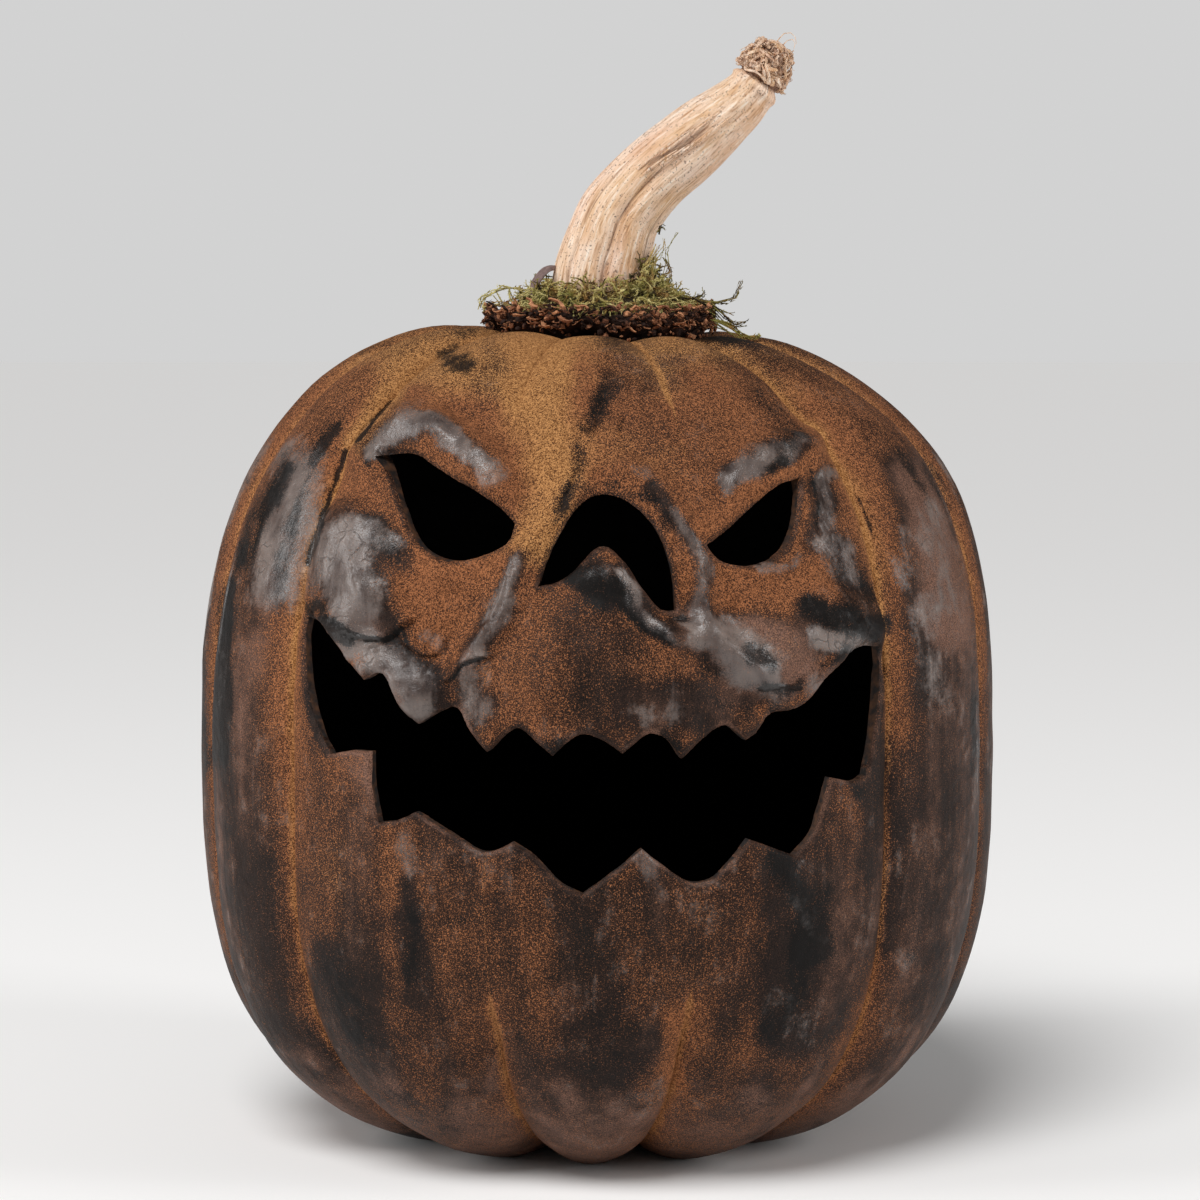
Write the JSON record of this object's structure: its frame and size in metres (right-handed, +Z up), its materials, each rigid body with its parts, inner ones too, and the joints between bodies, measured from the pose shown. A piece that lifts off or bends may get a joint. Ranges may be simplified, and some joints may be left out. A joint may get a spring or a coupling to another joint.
{
  "type": "carved pumpkin lantern",
  "caption": "Hollow moulded pumpkin lantern with a carved grinning face, rust-dusted dark shell, dried stem and a moss ring round its foot.",
  "frame": {"origin": "centre of the footprint on the plane the lantern stands on", "axes": "+Z up along the shell's axis, the face looks along -Y, +X to the viewer's right when facing it"},
  "size_m": [0.2991, 0.2972, 0.4155],
  "materials": {
    "shell": "moulded dark brown shell dusted with rust-orange powder, bare and satin where it is rubbed off",
    "stem": "dried pumpkin stem, ribbed, dull straw",
    "fibre_mat": "crumbly brown plant fibre",
    "moss": "dried olive moss",
    "dry_leaf": "dry dark leaf"
  },
  "bodies": {
    "root": {"shell": "shell", "stem": "stem", "fibre_mat": "fibre_mat", "moss": "moss", "dry_leaf": "dry_leaf"}
  },
  "joints": []
}
